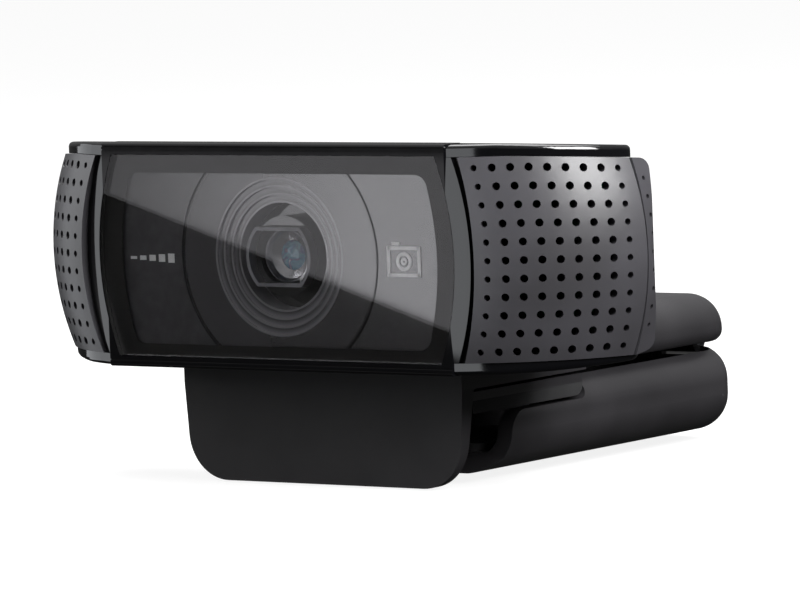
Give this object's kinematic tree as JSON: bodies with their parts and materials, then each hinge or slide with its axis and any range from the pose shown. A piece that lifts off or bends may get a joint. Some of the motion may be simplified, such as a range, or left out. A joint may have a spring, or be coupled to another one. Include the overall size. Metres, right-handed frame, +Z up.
{
  "type": "webcam",
  "caption": "Wide webcam head with side microphone grilles, tilting on a folding monitor clip that has a tripod thread.",
  "frame": {"origin": "middle of the object's lowest level, under the centre of its box", "axes": "+Z up, the lens looks along -Y, +X to the viewer's right"},
  "size_m": [0.0914, 0.071, 0.0433],
  "materials": {
    "gloss_black": "polished",
    "satin_grey": "fine satin, perforated",
    "satin_black": "fine satin",
    "dark_plastic": "moulded",
    "inner_face": "fine dotted texture",
    "white_plastic": "moulded",
    "clear_window": "clear, black printed border",
    "clear_plastic": "frosted light guide",
    "lens_glass": "coated lens",
    "bright_metal": "turned and polished",
    "steel": "plain",
    "copper_wire": "enamelled wire",
    "brass_insert": "turned",
    "rubber_black": "fine matt",
    "circuit_board": "solder mask",
    "sensor_chip": "cover glass over silicon"
  },
  "bodies": {
    "clip": {"clip_base": "satin_black", "arm_plate": "satin_black", "arm_screws": "steel", "leg_pin": "steel", "tilt_pin": "steel", "tilt_washers": "steel", "lip_pad": "rubber_black", "pad_carrier": "satin_black", "shelf_pad": "rubber_black"},
    "leg": {"leg_shell": "satin_black", "leg_liner": "rubber_black", "tripod_insert": "brass_insert"},
    "focus": {"lens_barrel": "bright_metal", "front_lens": "lens_glass", "rear_lens": "lens_glass", "focus_carrier": "dark_plastic", "focus_coil": "copper_wire"},
    "head": {"front_bezel": "gloss_black", "window_pane": "clear_window", "face_plate": "inner_face", "lens_disc": "inner_face", "lens_ring": "bright_metal", "grille_left": "satin_grey", "grille_right": "satin_grey", "top_cover": "gloss_black", "bottom_cover": "gloss_black", "rear_housing": "satin_grey", "chassis": "dark_plastic", "focus_housing": "steel", "focus_magnets": "steel", "focus_springs": "steel", "sensor_board": "circuit_board", "image_sensor": "sensor_chip", "main_board": "circuit_board", "video_processor": "dark_plastic", "board_shield": "steel", "cable_socket": "white_plastic", "light_guides": "clear_plastic", "status_lights": "white_plastic", "microphone_boots": "rubber_black", "microphones": "steel", "cable_gland": "rubber_black", "tilt_bracket": "satin_black", "housing_screws": "steel", "board_screws": "steel", "sensor_screws": "steel", "bracket_screws": "steel"}
  },
  "joints": [
    {"name": "head_tilt", "type": "hinge", "parent": "clip", "child": "head", "pos_m": [0, -0.008, 0.0172], "axis": [-1, 0, 0], "range_deg": [0, 45]},
    {"name": "leg_fold", "type": "hinge", "parent": "clip", "child": "leg", "pos_m": [0, 0.0335, 0.01255], "axis": [1, 0, 0], "range_deg": [0, 100]},
    {"name": "lens_focus", "type": "slide", "parent": "head", "child": "focus", "axis": [0, -1, 0], "range_m": [0, 0.0003], "stiffness_N_per_m": 25}
  ]
}
